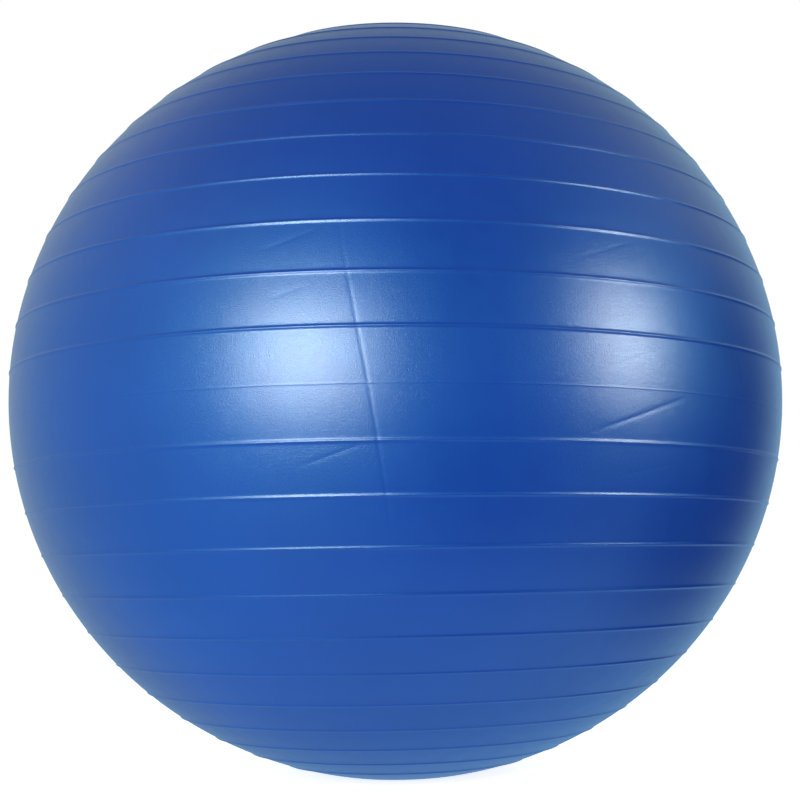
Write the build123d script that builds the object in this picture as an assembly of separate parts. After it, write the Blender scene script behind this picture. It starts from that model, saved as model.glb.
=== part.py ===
from build123d import *
import math
import os

# Ribbed exercise ball: an inflated soft PVC shell, the valve sleeve bonded into its top,
# and the air plug pushed into the sleeve. Millimetres, +Z up. The origin is the centre of
# the small flat on which the ball rests, and the ribs are rings round the Z axis.
# Every piece is a section turned round that axis. A section lies in a plane whose x is the
# distance from the axis and whose y is the height above the floor.

# Ball as it stands, pumped up
EQUATOR_RADIUS = 325.0      # a 65 cm ball
POLE_RADIUS = 319.5         # the ball sags a little under its own weight
FOOT_RADIUS = 48.0          # the flat that the weight presses on the floor
WALL = 0.9

# Ribs and parting line. An arc is a length along the skin, up from the widest level.
PARTING_ARC = -21.6
PARTING_WIDTH = 1.2
PARTING_HEIGHT = 0.25
RIB_WIDTH = 3.8
RIB_HEIGHT = 0.65
UPPER_RIB_COUNT = 12
LOWER_RIB_COUNT = 11

# Smooth bands between the ribs. The first is counted from the parting line, and each band
# further out is narrower than the one before it.
UPPER_BAND = 38.4
UPPER_NARROWING = 0.45
LOWER_BAND = 37.8
LOWER_NARROWING = 0.6

# Thickened seat at the top, which holds the valve sleeve
SEAT_RADIUS = 16.0
SEAT_FLOOR = 2.4            # thickness left under the sleeve's flange
BOSS_RADIUS = 25.0
BOSS_TAPER = 10.0           # the thick part thins out into the wall over this distance

# Valve sleeve
FLANGE_THICKNESS = 2.2
NECK_RADIUS = 6.6
NECK_TIP_RADIUS = 5.0
NECK_LENGTH = 19.0
BORE_RADIUS = 3.05
BORE_LEAD_IN = 0.5
HEAD_POCKET_RADIUS = 8.4
HEAD_POCKET_DEPTH = 1.6
NAIL_NOTCH_RADIUS = 9.0     # ball-shaped scoop beside the plug's head
NAIL_NOTCH_DEPTH = 1.2
NAIL_NOTCH_REACH = 10.5     # its distance from the axis

# Air plug
HEAD_RADIUS = 7.9
HEAD_EDGE = 1.4
HEAD_CROWN = 2.1
STEM_RADIUS = 3.0           # runs 0.05 mm inside the bore
STEM_LENGTH = 16.0
STEM_TIP_RADIUS = 1.8
STEM_TIP_LENGTH = 2.6
GROOVE_RADIUS = 2.7
GROOVE_WIDTH = 1.2
GROOVE_PITCH = 3.0
GROOVE_COUNT = 3

CENTRE_HEIGHT = POLE_RADIUS * math.sqrt(1 - (FOOT_RADIUS / EQUATOR_RADIUS) ** 2)
MERIDIAN = Edge.make_ellipse(
    EQUATOR_RADIUS, POLE_RADIUS, Plane((0, CENTRE_HEIGHT, 0)), start_angle=-90, end_angle=90
)


def skin_height(radius):
    """Height of the skin near the top, at a distance from the axis."""
    return CENTRE_HEIGHT + POLE_RADIUS * math.sqrt(1 - (radius / EQUATOR_RADIUS) ** 2)


FLANGE_TOP = skin_height(SEAT_RADIUS)
SEAT_HEIGHT = FLANGE_TOP - FLANGE_THICKNESS
BOSS_BOTTOM = SEAT_HEIGHT - SEAT_FLOOR
POCKET_FLOOR = FLANGE_TOP - HEAD_POCKET_DEPTH


def skin_point(arc, proud=0.0):
    """Point of the section at an arc along the skin, standing proud of it."""
    length = MERIDIAN.length / 2 + arc
    point = MERIDIAN.position_at(length, position_mode=PositionMode.LENGTH)
    tangent = MERIDIAN.tangent_at(length, position_mode=PositionMode.LENGTH)
    outward = Vector(tangent.Y, -tangent.X)
    return point + outward * proud


def skin_span(start, end, proud=0.0):
    """Arc of a circle along the skin, whose middle stands proud of it."""
    middle = skin_point((start + end) / 2, proud)
    return ThreePointArc(skin_point(start), middle, skin_point(end))


def beads():
    """Centre, width and height of each raised ring, from the lowest to the highest."""
    rings = [(PARTING_ARC, PARTING_WIDTH, PARTING_HEIGHT)]
    for number in range(1, UPPER_RIB_COUNT + 1):
        reach = number * UPPER_BAND - number * (number - 1) / 2 * UPPER_NARROWING
        rings.append((PARTING_ARC + reach, RIB_WIDTH, RIB_HEIGHT))
    for number in range(1, LOWER_RIB_COUNT + 1):
        reach = number * LOWER_BAND - number * (number - 1) / 2 * LOWER_NARROWING
        rings.append((PARTING_ARC - reach, RIB_WIDTH, RIB_HEIGHT))
    return sorted(rings)


def above(height):
    """The part of the section plane above a height, on the positive side of the axis."""
    size = 3 * EQUATOR_RADIUS
    return Pos(0, height) * Rectangle(size, size, align=(Align.MIN, Align.MIN))


def outside_section():
    """Everything inside the ball's outer skin, ribs included, cut off at the floor."""
    pole_arc = MERIDIAN.length / 2
    spans = []
    reached = -pole_arc
    for centre, width, height in beads():
        spans.append(skin_span(reached, centre - width / 2))
        spans.append(skin_span(centre - width / 2, centre + width / 2, height))
        reached = centre + width / 2
    spans.append(skin_span(reached, pole_arc))
    axis = Line(skin_point(pole_arc), skin_point(-pole_arc))
    return make_face(spans + [axis]) & above(0)


def inside_section():
    """The air space."""
    ellipse = Ellipse(EQUATOR_RADIUS - WALL, POLE_RADIUS - WALL)
    return Pos(0, CENTRE_HEIGHT) * ellipse & above(WALL)


def boss_section():
    """Thick part of the wall round the valve, thinning out on the inside of the ball."""
    rim = BOSS_RADIUS + BOSS_TAPER
    return make_face(
        Polyline(
            (0, BOSS_BOTTOM),
            (BOSS_RADIUS, BOSS_BOTTOM),
            (rim, skin_height(rim) - WALL),
            (rim, skin_height(rim) - WALL / 2),
            (0, skin_height(rim) - WALL / 2),
            (0, BOSS_BOTTOM),
        )
    )


def block_section(radius, bottom, top):
    """A plain round block on the axis."""
    return Pos(0, bottom) * Rectangle(radius, top - bottom, align=(Align.MIN, Align.MIN))


def turned(section):
    """The solid made by turning a section round the Z axis."""
    return revolve(Plane.XZ * section, Axis.Z)


def ball_shell():
    sky = skin_height(0) + RIB_HEIGHT
    section = outside_section() - inside_section() + boss_section()
    section -= block_section(SEAT_RADIUS, SEAT_HEIGHT, sky)
    section -= block_section(NECK_RADIUS, BOSS_BOTTOM - WALL, sky)
    return turned(section)


def valve_sleeve():
    section = make_face(
        Polyline(
            (BORE_RADIUS, SEAT_HEIGHT - NECK_LENGTH),
            (NECK_TIP_RADIUS, SEAT_HEIGHT - NECK_LENGTH),
            (NECK_RADIUS, BOSS_BOTTOM),
            (NECK_RADIUS, SEAT_HEIGHT),
            (SEAT_RADIUS, SEAT_HEIGHT),
            (SEAT_RADIUS, FLANGE_TOP),
            (HEAD_POCKET_RADIUS, FLANGE_TOP),
            (HEAD_POCKET_RADIUS, POCKET_FLOOR),
            (BORE_RADIUS + BORE_LEAD_IN, POCKET_FLOOR),
            (BORE_RADIUS, POCKET_FLOOR - BORE_LEAD_IN),
            (BORE_RADIUS, SEAT_HEIGHT - NECK_LENGTH),
        )
    )
    scoop_height = FLANGE_TOP + NAIL_NOTCH_RADIUS - NAIL_NOTCH_DEPTH
    scoop = Pos(NAIL_NOTCH_REACH, 0, scoop_height) * Sphere(NAIL_NOTCH_RADIUS)
    return turned(section) - scoop


def air_plug():
    tip = POCKET_FLOOR - STEM_LENGTH
    outline = Polyline(
        (0, POCKET_FLOOR + HEAD_CROWN),
        (0, tip),
        (STEM_TIP_RADIUS, tip),
        (STEM_RADIUS, tip + STEM_TIP_LENGTH),
        (STEM_RADIUS, POCKET_FLOOR),
        (HEAD_RADIUS, POCKET_FLOOR),
        (HEAD_RADIUS, POCKET_FLOOR + HEAD_EDGE),
    )
    rise = HEAD_CROWN - HEAD_EDGE
    crown_radius = (HEAD_RADIUS**2 + rise**2) / (2 * rise)
    crown_angle = math.degrees(math.asin(HEAD_RADIUS / crown_radius))
    crown = JernArc((0, POCKET_FLOOR + HEAD_CROWN), (1, 0), crown_radius, -crown_angle)
    section = make_face(outline.edges() + [crown])
    for number in range(1, GROOVE_COUNT + 1):
        groove_height = POCKET_FLOOR - number * GROOVE_PITCH
        groove = Rectangle(STEM_RADIUS, GROOVE_WIDTH, align=(Align.MIN, Align.CENTER))
        section -= Pos(GROOVE_RADIUS, groove_height) * groove
    return turned(section)


def main():
    os.makedirs("parts", exist_ok=True)
    for piece in (ball_shell, valve_sleeve, air_plug):
        export_step(piece(), f"parts/{piece.__name__}.step")


main()
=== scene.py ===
import math

import bpy
import numpy as np
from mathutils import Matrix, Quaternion, Vector


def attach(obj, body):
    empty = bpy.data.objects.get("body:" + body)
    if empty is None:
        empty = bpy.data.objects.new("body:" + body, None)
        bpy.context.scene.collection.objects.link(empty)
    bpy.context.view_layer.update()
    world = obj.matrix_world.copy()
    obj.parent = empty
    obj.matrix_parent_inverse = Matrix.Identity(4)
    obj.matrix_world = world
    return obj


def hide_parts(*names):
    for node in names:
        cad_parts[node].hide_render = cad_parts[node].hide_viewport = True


# A ribbed exercise ball of satin blue PVC, with its valve and air plug. Metres, +Z up, and
# the camera stands in front of the ball, on its -Y side. A place on the ball is an azimuth,
# in degrees round to the right from the side that faces the camera, and an arc, a length
# along the skin up from the widest level.

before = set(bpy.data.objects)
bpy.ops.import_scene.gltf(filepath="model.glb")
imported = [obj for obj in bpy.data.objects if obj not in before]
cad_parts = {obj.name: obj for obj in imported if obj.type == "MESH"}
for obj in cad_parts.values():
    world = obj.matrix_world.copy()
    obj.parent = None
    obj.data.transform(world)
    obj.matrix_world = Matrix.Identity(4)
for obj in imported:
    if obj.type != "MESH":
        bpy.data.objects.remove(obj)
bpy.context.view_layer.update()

MM = 0.001

# ---------------------------------------------------------------- driving dimensions
EQUATOR_RADIUS = 325 * MM
POLE_RADIUS = 319.5 * MM
FOOT_RADIUS = 48 * MM
WALL = 0.9 * MM

PARTING_ARC = -21.6 * MM
PARTING_HEIGHT = 0.1 * MM
PARTING_SHARPNESS = 0.28 * MM
RIB_HEIGHT = 0.65 * MM
RIB_FOOT = 1.5 * MM         # from the crest to the middle of the curve at its foot
RIB_ROUNDING = 0.55 * MM    # softness of its crest and its feet
UPPER_RIB_COUNT = 12
LOWER_RIB_COUNT = 11
UPPER_BAND = 38.4 * MM      # first smooth band, counted from the parting line
UPPER_NARROWING = 0.45 * MM     # by which each band further out is narrower
LOWER_BAND = 37.8 * MM
LOWER_NARROWING = 0.6 * MM

# Thick part of the wall round the valve, with depths below the sleeve's flange top
SEAT_RADIUS = 16 * MM
SEAT_DEPTH = 2.2 * MM
NECK_RADIUS = 6.6 * MM
BOSS_RADIUS = 25 * MM
BOSS_RIM = 33 * MM          # the wall has its own thickness again from here
BOSS_BOTTOM_DEPTH = 4.6 * MM
FOOT_SOFTNESS = 1.5 * MM    # height over which the skin rounds off into the flat foot

CENTRE_HEIGHT = POLE_RADIUS * math.sqrt(1 - (FOOT_RADIUS / EQUATOR_RADIUS) ** 2)

# ---------------------------------------------------------------- mesh resolution
FOOT_RING = 3 * MM          # arc from the lowest point to the first row
INNER_ROWS = 58
BAND_STEP = 2.0 * MM
CREASED_BAND_STEP = 1.0 * MM
CREASED_REACH = 112 * MM    # arc to each side of the widest level with the closer rows
RIB_ROWS = np.array([0, 0.25, 0.55, 0.95, 1.4, 1.8, 2.2, 2.8]) * MM
PARTING_ROWS = np.array([0, 0.2, 0.42, 0.8]) * MM
COLUMN_STEP_DEG = 1.0
# Stretches of azimuth, in degrees, with closer columns for the creases that run up and down
FINE_COLUMNS = [
    (-19, -9.5, 0.45),
    (-9.5, 0.3, 0.18),
    (19.5, 28.4, 0.45),
    (28.4, 30.4, 0.2),
    (30.4, 39.8, 0.45),
    (39.8, 42.6, 0.25),
    (48.4, 52.6, 0.2),
    (112, 120, 0.25),
    (-158, -150, 0.25),
]


# ---------------------------------------------------------------- the ball's meridian
def meridian_table():
    """Arc, radius, height and outward direction along the smooth skin, pole to pole."""
    turn = np.linspace(-math.pi / 2, math.pi / 2, 20001)
    radius = EQUATOR_RADIUS * np.cos(turn)
    height = CENTRE_HEIGHT + POLE_RADIUS * np.sin(turn)
    arc = np.concatenate([[0], np.cumsum(np.hypot(np.diff(radius), np.diff(height)))])
    arc -= arc[len(arc) // 2]
    out_radius = np.cos(turn) / EQUATOR_RADIUS
    out_height = np.sin(turn) / POLE_RADIUS
    size = np.hypot(out_radius, out_height)
    return arc, radius, height, out_radius / size, out_height / size


TABLE = meridian_table()
POLE_ARC = TABLE[0][-1]


def on_skin(arc):
    """Radius, height and outward direction at arcs along the skin."""
    return [np.interp(arc, TABLE[0], column) for column in TABLE[1:]]


def arc_at_radius(radius):
    """Arc of the ring round the top whose distance from the axis is radius."""
    upper = len(TABLE[0]) // 2
    return float(np.interp(-radius, -TABLE[1][upper:], TABLE[0][upper:]))


def rib_arcs():
    upper = np.arange(1, UPPER_RIB_COUNT + 1)
    lower = np.arange(1, LOWER_RIB_COUNT + 1)
    above = PARTING_ARC + upper * UPPER_BAND - upper * (upper - 1) / 2 * UPPER_NARROWING
    below = PARTING_ARC - lower * LOWER_BAND + lower * (lower - 1) / 2 * LOWER_NARROWING
    return sorted([*above, *below])


def ridge(distance):
    """Cross-section of a rib, 1 at its crest: a rounded bead with soft feet."""
    def bend(offset):
        return np.hypot(offset, RIB_ROUNDING)

    height = bend(distance - RIB_FOOT) + bend(distance + RIB_FOOT) - 2 * bend(distance)
    return height / (2 * bend(RIB_FOOT) - 2 * RIB_ROUNDING)


def rib_relief(arc):
    """Height of the ribs and the parting line over the smooth skin."""
    relief = PARTING_HEIGHT / np.cosh((arc - PARTING_ARC) / PARTING_SHARPNESS)
    for centre in rib_arcs():
        relief = relief + RIB_HEIGHT * ridge(arc - centre)
    return relief


def column_azimuths():
    """Azimuths of the mesh columns, in degrees, once round the ball."""
    azimuths = []
    reached = -180.0
    for start, end, step in sorted(FINE_COLUMNS) + [(180, 180, 1)]:
        count = max(1, round((start - reached) / COLUMN_STEP_DEG)) if start > reached else 0
        azimuths.extend(reached + (start - reached) * np.arange(count) / max(count, 1))
        count = round((end - start) / step)
        azimuths.extend(start + (end - start) * np.arange(count) / max(count, 1))
        reached = end
    return np.array(azimuths)


def shell_rows():
    """Arcs of the mesh rows, close together on the ribs."""
    last = arc_at_radius(SEAT_RADIUS)
    marks = []
    for centre in rib_arcs():
        marks.extend(centre + RIB_ROWS)
        marks.extend(centre - RIB_ROWS[1:])
    marks.extend(PARTING_ARC + PARTING_ROWS)
    marks.extend(PARTING_ARC - PARTING_ROWS[1:])
    marks = [-POLE_ARC + FOOT_RING] + sorted(marks) + [last]
    rows = []
    for start, end in zip(marks, marks[1:]):
        creased = max(abs(start), abs(end)) < CREASED_REACH
        steps = max(1, round((end - start) / (CREASED_BAND_STEP if creased else BAND_STEP)))
        rows.extend(start + (end - start) * np.arange(steps) / steps)
    return np.array(rows + [last])


# ---------------------------------------------------------------- creases
# Fold marks left from the box: each runs through places on the ball (azimuth in degrees,
# arc in millimetres), and has a depth and a half width in millimetres.
LONG_CREASES = [
    (
        [(-8.5, 108), (-7.4, 73), (-6.1, 36), (-4.5, -11), (-3.2, -58), (-2.2, -101), (-1.1, -152)],
        0.17,
        1.05,
    ),
    ([(115, 92), (115.8, 40), (117, -20), (116.4, -88)], 0.26, 1.5),
    ([(-155, 40), (-154.2, -15), (-153, -70), (-153.4, -118)], 0.24, 1.5),
]
SHORT_CREASES = [
    ([(-18.1, 70), (-10.1, 87)], 0.13, 1.2),
    ([(-16.6, 36), (-11, 46)], 0.08, 1.2),
    ([(-13.8, -78), (-4, -60)], 0.15, 1.2),
    ([(-8.6, -109), (-3.6, -101)], 0.06, 1.2),
    ([(20.3, 65), (32.7, 89)], 0.10, 1.2),
    ([(24.5, -10), (34.8, 9)], 0.09, 1.2),
    ([(21.9, -56), (30.5, -40), (40.1, -22)], 0.24, 1.3),
    ([(26.8, -85), (40.2, -70)], 0.07, 1.2),
    ([(49.1, 21), (50.2, -1), (51.7, -24)], 0.14, 1.2),
    ([(29.3, 9), (29.5, -1)], 0.07, 0.9),
    ([(40.5, 196), (41.8, 176)], 0.07, 1.2),
]


CREASE_FADE = 0.3           # share of its length over which a crease fades in at each end
CREASE_SHARPNESS = 0.6
CREASE_REACH = 10           # half widths to each side beyond which it has no effect
CREASE_TURN = 6             # degrees to each side that are looked at


def scattered_creases():
    """Faint slanting fold marks on the sides and the back, each within one band."""
    choose = np.random.default_rng(7)
    marks = []
    arcs = [arc / MM for arc in rib_arcs()]
    for low, high in zip(arcs, arcs[1:]):
        if low < -330 or high > 330:
            continue
        ring = float(on_skin((low + high) / 2 * MM)[0]) / MM
        for azimuth in choose.uniform(62, 338, 5):
            length = choose.uniform(22, 75)
            rise = choose.choice([-1, 1]) * length * choose.uniform(0.15, 0.4)
            rise = np.clip(rise, -0.6 * (high - low), 0.6 * (high - low))
            middle = choose.uniform(low, high)
            turn = math.degrees(length / ring) / 2
            start = float((azimuth - turn + 180) % 360 - 180)
            if start + 2 * turn > 180:
                continue
            ends = [(start, middle - rise / 2), (start + 2 * turn, middle + rise / 2)]
            marks.append((ends, choose.uniform(0.05, 0.16), 1.5))
    return marks


def crease_relief(azimuth, arc, radius):
    """Depth of the creases on a grid of rows and columns."""
    relief = np.zeros((len(arc), len(azimuth)))
    for places, depth, half_width in LONG_CREASES + SHORT_CREASES + scattered_creases():
        places = np.array(places, float)
        reach = CREASE_REACH * half_width * MM
        low, high = places[:, 1].min() * MM - reach, places[:, 1].max() * MM + reach
        left, right = places[:, 0].min() - CREASE_TURN, places[:, 0].max() + CREASE_TURN
        rows = np.where((arc > low) & (arc < high))[0]
        cols = np.where((azimuth > left) & (azimuth < right))[0]
        if len(rows) == 0 or len(cols) == 0:
            continue
        ring = radius[rows][:, None]
        x = np.radians(azimuth[cols])[None, :] * ring
        y = arc[rows][:, None] + 0 * x
        nearest = np.full(x.shape, 1.0)
        along = np.zeros(x.shape)
        total = 0.0
        for (start_az, start_arc), (end_az, end_arc) in zip(places, places[1:]):
            start_x = math.radians(start_az) * ring
            start_y = start_arc * MM
            dx = math.radians(end_az) * ring - start_x
            dy = end_arc * MM - start_y
            length2 = dx * dx + dy * dy
            t = np.clip(((x - start_x) * dx + (y - start_y) * dy) / length2, 0, 1)
            gap = np.hypot(x - start_x - t * dx, y - start_y - t * dy)
            length = float(np.sqrt(length2).mean())
            along = np.where(gap < nearest, total + t * length, along)
            nearest = np.minimum(gap, nearest)
            total += length
        fade = np.clip(np.minimum(along, total - along) / (CREASE_FADE * total), 0, 1)
        fade = fade * fade * (3 - 2 * fade)
        across = np.clip(nearest / (half_width * MM * CREASE_SHARPNESS), 0, 30)
        relief[np.ix_(rows, cols)] -= depth * MM / np.cosh(across) * fade
    return relief


def soft_floor(height):
    """Height with the ball's underside pressed flat on the floor, with a soft edge."""
    blended = (height + FOOT_SOFTNESS) ** 2 / (4 * FOOT_SOFTNESS)
    pressed = np.where(height < -FOOT_SOFTNESS, 0, blended)
    return np.where(height > FOOT_SOFTNESS, height, pressed)


# ---------------------------------------------------------------- mesh helpers
def mesh_object(name, vertices, faces, smooth=True):
    """Object from arrays of vertices and faces, linked to the scene."""
    mesh = bpy.data.meshes.new(name)
    vertices = np.asarray(vertices, dtype=np.float32)
    sizes = np.array([len(face) for face in faces], dtype=np.int32)
    corners = np.concatenate([np.asarray(face, dtype=np.int32) for face in faces])
    mesh.vertices.add(len(vertices))
    mesh.vertices.foreach_set("co", vertices.ravel())
    mesh.loops.add(len(corners))
    mesh.loops.foreach_set("vertex_index", corners)
    mesh.polygons.add(len(faces))
    starts = np.concatenate([[0], np.cumsum(sizes)[:-1]]).astype(np.int32)
    mesh.polygons.foreach_set("loop_start", starts)
    mesh.update(calc_edges=True)
    mesh.validate()
    mesh.polygons.foreach_set("use_smooth", [smooth] * len(mesh.polygons))
    piece = bpy.data.objects.new(name, mesh)
    bpy.context.scene.collection.objects.link(piece)
    return piece


def ring_faces(row_count, column_count):
    """Quads of a grid closed round the axis."""
    row = np.arange(row_count - 1)[:, None]
    column = np.arange(column_count)[None, :]
    after = (column + 1) % column_count
    low = row * column_count
    high = low + column_count
    return np.stack([low + column, low + after, high + after, high + column], -1).reshape(-1, 4)


def cap_faces(first, column_count, centre, upward):
    """Triangles from one ring to a middle point."""
    column = np.arange(column_count)
    after = (column + 1) % column_count
    if upward:
        return np.stack([first + column, first + after, 0 * column + centre], -1)
    return np.stack([first + after, first + column, 0 * column + centre], -1)


# ---------------------------------------------------------------- pieces
def make_shell():
    azimuth = column_azimuths()
    arc = shell_rows()
    radius, height, out_r, out_z = on_skin(arc)
    relief = rib_relief(arc)[:, None] + crease_relief(azimuth, arc, radius)
    ring = radius[:, None] + out_r[:, None] * relief
    level = soft_floor(height[:, None] + out_z[:, None] * relief)
    angle = np.radians(azimuth)[None, :]
    rows = [np.stack([ring * np.sin(angle), -ring * np.cos(angle), level], -1)]

    # The seat for the sleeve, the neck hole and the smooth inside
    flange_top = float(height[-1])
    seat = flange_top - SEAT_DEPTH
    boss_bottom = flange_top - BOSS_BOTTOM_DEPTH
    inner = [(SEAT_RADIUS, seat), (NECK_RADIUS, seat)]
    inner += [(NECK_RADIUS, boss_bottom), (BOSS_RADIUS, boss_bottom)]
    for turn in np.linspace(math.pi / 2, -math.pi / 2, INNER_ROWS + 2)[1:-1]:
        r = (EQUATOR_RADIUS - WALL) * math.cos(turn)
        z = CENTRE_HEIGHT + (POLE_RADIUS - WALL) * math.sin(turn)
        if r > BOSS_RIM or z < CENTRE_HEIGHT:
            inner.append((r, max(z, WALL)))
    for r, z in inner:
        rows.append(np.stack([r * np.sin(angle), -r * np.cos(angle), 0 * angle + z], -1))
    rows = np.concatenate(rows)
    row_count, column_count = rows.shape[:2]
    vertices = rows.reshape(-1, 3)
    lowest = len(vertices)
    vertices = np.concatenate([vertices, [(0, 0, 0), (0, 0, WALL)]])
    faces = list(ring_faces(row_count, column_count))
    faces += list(cap_faces(0, column_count, lowest, False))
    faces += list(cap_faces((row_count - 1) * column_count, column_count, lowest + 1, True))
    return mesh_object("ribbed_shell", vertices, faces)


# ---------------------------------------------------------------- materials
def new_material(name):
    material = bpy.data.materials.new(name)
    material.use_nodes = True
    tree = material.node_tree
    return material, tree, tree.nodes["Principled BSDF"]


def noise(tree, scale, detail=2.0, stretch=(1, 1, 1)):
    """Noise fixed to the object, as a value from 0 to 1. The scale is in features a metre."""
    place = tree.nodes.new("ShaderNodeTexCoord")
    mapping = tree.nodes.new("ShaderNodeMapping")
    mapping.inputs["Scale"].default_value = stretch
    texture = tree.nodes.new("ShaderNodeTexNoise")
    texture.inputs["Scale"].default_value = scale
    texture.inputs["Detail"].default_value = detail
    tree.links.new(place.outputs["Object"], mapping.inputs["Vector"])
    tree.links.new(mapping.outputs["Vector"], texture.inputs["Vector"])
    return texture.outputs["Fac"]


def graded(tree, value, low, high, start=0.3, end=0.7):
    """Colour that runs from low to high as the value goes from start to end."""
    ramp = tree.nodes.new("ShaderNodeValToRGB")
    ramp.color_ramp.elements[0].position = start
    ramp.color_ramp.elements[0].color = (*low, 1)
    ramp.color_ramp.elements[1].position = end
    ramp.color_ramp.elements[1].color = (*high, 1)
    tree.links.new(value, ramp.inputs["Fac"])
    return ramp.outputs["Color"]


def spread(tree, value, low, high, start=0.3, end=0.7):
    """Number that runs from low to high as the value goes from start to end."""
    node = tree.nodes.new("ShaderNodeMapRange")
    node.inputs["From Min"].default_value = start
    node.inputs["From Max"].default_value = end
    node.inputs["To Min"].default_value = low
    node.inputs["To Max"].default_value = high
    tree.links.new(value, node.inputs["Value"])
    return node.outputs["Result"]


def bumped(tree, height, distance, under=None):
    """Surface direction for a relief of the given depth, over another relief if one is given."""
    node = tree.nodes.new("ShaderNodeBump")
    node.inputs["Distance"].default_value = distance
    tree.links.new(height, node.inputs["Height"])
    if under is not None:
        tree.links.new(under, node.inputs["Normal"])
    return node.outputs["Normal"]


def pvc_material():
    """Pearly blue PVC: a broad blue sheen from the pigment under a clear satin skin."""
    material, tree, shader = new_material("satin_pvc")
    link = tree.links.new
    cloud = noise(tree, 11, 3)
    link(graded(tree, cloud, (0.0025, 0.0205, 0.240), (0.0040, 0.026, 0.270)), shader.inputs["Base Color"])
    link(spread(tree, noise(tree, 60, 4), 0.47, 0.53), shader.inputs["Roughness"])
    grain = bumped(tree, noise(tree, 1600, 1), 0.125 * MM)
    link(grain, shader.inputs["Normal"])
    link(grain, shader.inputs["Coat Normal"])
    shader.inputs["Metallic"].default_value = 0.14
    shader.inputs["IOR"].default_value = 1.58
    shader.inputs["Specular IOR Level"].default_value = 1.0
    shader.inputs["Specular Tint"].default_value = (0.06, 0.72, 0.74, 1)
    shader.inputs["Coat Weight"].default_value = 1.0
    shader.inputs["Coat Roughness"].default_value = 0.25
    shader.inputs["Coat IOR"].default_value = 1.55
    return material


def sleeve_material():
    """Softer, plainer blue PVC, with a roughness that varies at random over it."""
    material, tree, shader = new_material("valve_pvc")
    link = tree.links.new
    cloud = noise(tree, 170, 4)
    link(graded(tree, cloud, (0.004, 0.020, 0.155), (0.008, 0.034, 0.215)), shader.inputs["Base Color"])
    link(spread(tree, noise(tree, 420, 3), 0.36, 0.52), shader.inputs["Roughness"])
    link(bumped(tree, noise(tree, 1700, 2), 0.05 * MM), shader.inputs["Normal"])
    shader.inputs["IOR"].default_value = 1.53
    return material


def plug_material():
    """Milky white polyethylene with faint flow marks and a little handling dirt."""
    material, tree, shader = new_material("plug_plastic")
    link = tree.links.new
    flow = noise(tree, 240, 4, (1, 1, 0.3))
    link(graded(tree, flow, (0.66, 0.68, 0.67), (0.80, 0.82, 0.80)), shader.inputs["Base Color"])
    link(spread(tree, noise(tree, 600, 3), 0.30, 0.46), shader.inputs["Roughness"])
    link(bumped(tree, noise(tree, 1500, 2), 0.04 * MM), shader.inputs["Normal"])
    shader.inputs["IOR"].default_value = 1.51
    shader.inputs["Subsurface Weight"].default_value = 0.15
    shader.inputs["Subsurface Radius"].default_value = (1.0, 0.9, 0.8)
    shader.inputs["Subsurface Scale"].default_value = 1.5 * MM
    return material


def paint_cad_node(node, material):
    """Give a piece carried over from the CAD model its material."""
    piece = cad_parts[node]
    piece.data.materials.clear()
    piece.data.materials.append(material)


# ---------------------------------------------------------------- studio
BOX_DISTANCE = 2.0
FLOOR_HALF_SIZE = 6.0


def toward(azimuth, elevation):
    """Direction from the ball, by azimuth from its front and elevation, in degrees."""
    az, el = math.radians(azimuth), math.radians(elevation)
    return Vector((math.sin(az) * math.cos(el), -math.cos(az) * math.cos(el), math.sin(el)))


# The room that the ball reflects: one colour of light, then stretches that change it. Each
# is a direction, the angles from it at which the change is full and has faded out, in
# degrees, and what the light's colour is multiplied by in its middle.
ROOM_LIGHT = 0.52
ROOM_COLOUR = (0.80, 0.98, 1.04)
ROOM_STRETCHES = [
    ((20, 5), 22, 75, (0.08, 0.08, 0.08)),      # unlit space round the camera
    ((103, -6), 18, 46, (0.04, 0.05, 0.12)),    # black flag to the right
    ((0, 90), 5, 65, (0.34, 0.42, 0.55)),       # dark ceiling
    ((-95, -10), 20, 60, (0.66, 1.0, 1.15)),    # pale blue wall to the left
    ((165, -5), 15, 50, (0.9, 1.25, 1.5)),      # pale blue wall behind, to the right
    ((15, -78), 38, 84, (0.85, 1.3, 2.1)),      # blue light between the floor and the ball
    ((180, -40), 15, 50, (0.6, 0.7, 0.8)),      # dim corner behind, near the floor
]


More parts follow.
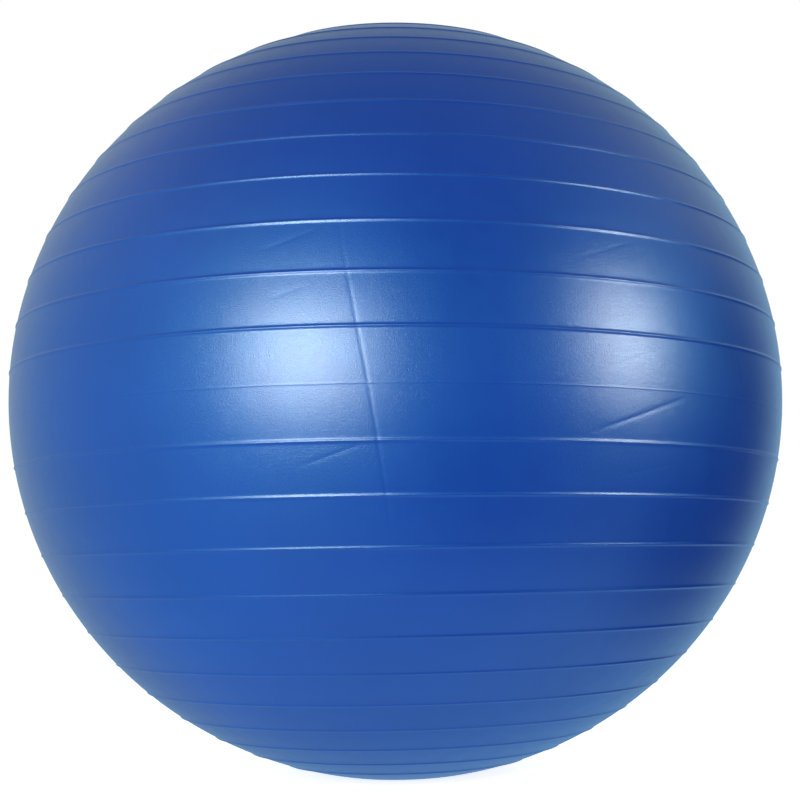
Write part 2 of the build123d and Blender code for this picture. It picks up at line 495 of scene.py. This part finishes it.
def make_world():
    """White where the camera sees past the ball, and the room in everything else."""
    world = bpy.data.worlds.new("studio")
    bpy.context.scene.world = world
    world.use_nodes = True
    nodes, links = world.node_tree.nodes, world.node_tree.links
    nodes.clear()
    out = nodes.new("ShaderNodeOutputWorld")
    seen = nodes.new("ShaderNodeBackground")
    seen.inputs["Color"].default_value = (1, 1, 1, 1)
    room = nodes.new("ShaderNodeBackground")
    room.inputs["Strength"].default_value = ROOM_LIGHT
    place = nodes.new("ShaderNodeTexCoord")
    light = None
    for direction, full, gone, factor in ROOM_STRETCHES:
        across = nodes.new("ShaderNodeVectorMath")
        across.operation = "DOT_PRODUCT"
        across.inputs[1].default_value = toward(*direction)
        links.new(place.outputs["Generated"], across.inputs[0])
        change = nodes.new("ShaderNodeMapRange")
        change.interpolation_type = "SMOOTHSTEP"
        change.inputs["From Min"].default_value = math.cos(math.radians(gone))
        change.inputs["From Max"].default_value = math.cos(math.radians(full))
        links.new(across.outputs["Value"], change.inputs["Value"])
        tinted = nodes.new("ShaderNodeMixRGB")
        tinted.blend_type = "MULTIPLY"
        tinted.inputs["Color1"].default_value = (*ROOM_COLOUR, 1)
        tinted.inputs["Color2"].default_value = (*factor, 1)
        if light is not None:
            links.new(light, tinted.inputs["Color1"])
        links.new(change.outputs["Result"], tinted.inputs["Fac"])
        light = tinted.outputs["Color"]
    links.new(light, room.inputs["Color"])
    path = nodes.new("ShaderNodeLightPath")
    mix = nodes.new("ShaderNodeMixShader")
    links.new(path.outputs["Is Camera Ray"], mix.inputs["Fac"])
    links.new(room.outputs["Background"], mix.inputs[1])
    links.new(seen.outputs["Background"], mix.inputs[2])
    links.new(mix.outputs["Shader"], out.inputs["Surface"])


def soft_box(name, azimuth, elevation, width, height, power):
    """An area lamp in a direction from the ball's front, facing the ball."""
    direction = toward(azimuth, elevation)
    lamp = bpy.data.lights.new(name, "AREA")
    lamp.shape = "RECTANGLE"
    lamp.size = width
    lamp.size_y = height
    lamp.energy = power
    box = bpy.data.objects.new(name, lamp)
    box.location = Vector((0, 0, CENTRE_HEIGHT)) + direction * BOX_DISTANCE
    box.rotation_euler = direction.to_track_quat("Z", "Y").to_euler()
    box.visible_camera = False
    bpy.context.scene.collection.objects.link(box)


def make_floor():
    """Pale floor. The ball is lit from below by the room's light, not by this sheet."""
    size = FLOOR_HALF_SIZE
    vertices = [(-size, -size, 0), (size, -size, 0), (size, size, 0), (-size, size, 0)]
    floor = mesh_object("studio_floor", vertices, [(0, 1, 2, 3)], smooth=False)
    material, tree, shader = new_material("floor_paint")
    shader.inputs["Base Color"].default_value = (0.9, 0.9, 0.9, 1)
    shader.inputs["Roughness"].default_value = 0.8
    shader.inputs["Emission Color"].default_value = (1, 1, 1, 1)
    shader.inputs["Emission Strength"].default_value = 0.8
    floor.data.materials.append(material)
    floor.visible_diffuse = False
    floor.visible_glossy = False
    floor.visible_shadow = False


def make_camera():
    """The camera stands a little below the ball's middle, looks slightly up and past it to
    the right, and its shifted lens puts the ball back in the middle of the picture."""
    distance = 1.3335
    below = math.radians(6.07)
    past = math.radians(5.33)
    tilt = math.radians(-0.42)
    centre = Vector((0, 0, CENTRE_HEIGHT))
    place = centre + distance * Vector((0, -math.cos(below), -math.sin(below)))
    lens = bpy.data.cameras.new("camera")
    lens.lens = 68.65
    lens.sensor_width = 36
    lens.shift_x = -0.1835
    lens.shift_y = 0.001
    camera = bpy.data.objects.new("camera", lens)
    camera.location = place
    look = (centre - place).to_track_quat("-Z", "Y")
    turn = Quaternion((0, 1, 0), -past)
    roll = Quaternion((0, 0, 1), tilt)
    camera.rotation_euler = (look @ turn @ roll).to_euler()
    bpy.context.scene.collection.objects.link(camera)
    bpy.context.scene.camera = camera


def main():
    pvc = pvc_material()
    shell = make_shell()
    shell.data.materials.append(pvc)
    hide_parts("ball_shell")
    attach(shell, "ball")
    paint_cad_node("valve_sleeve", sleeve_material())
    paint_cad_node("air_plug", plug_material())

    bpy.context.scene.view_settings.view_transform = "Standard"
    make_world()
    make_floor()
    soft_box("left_soft_box", azimuth=-25, elevation=6.5, width=0.9, height=0.88, power=36)
    soft_box("right_soft_box", azimuth=60, elevation=10.5, width=0.44, height=0.82, power=19.5)
    make_camera()


main()
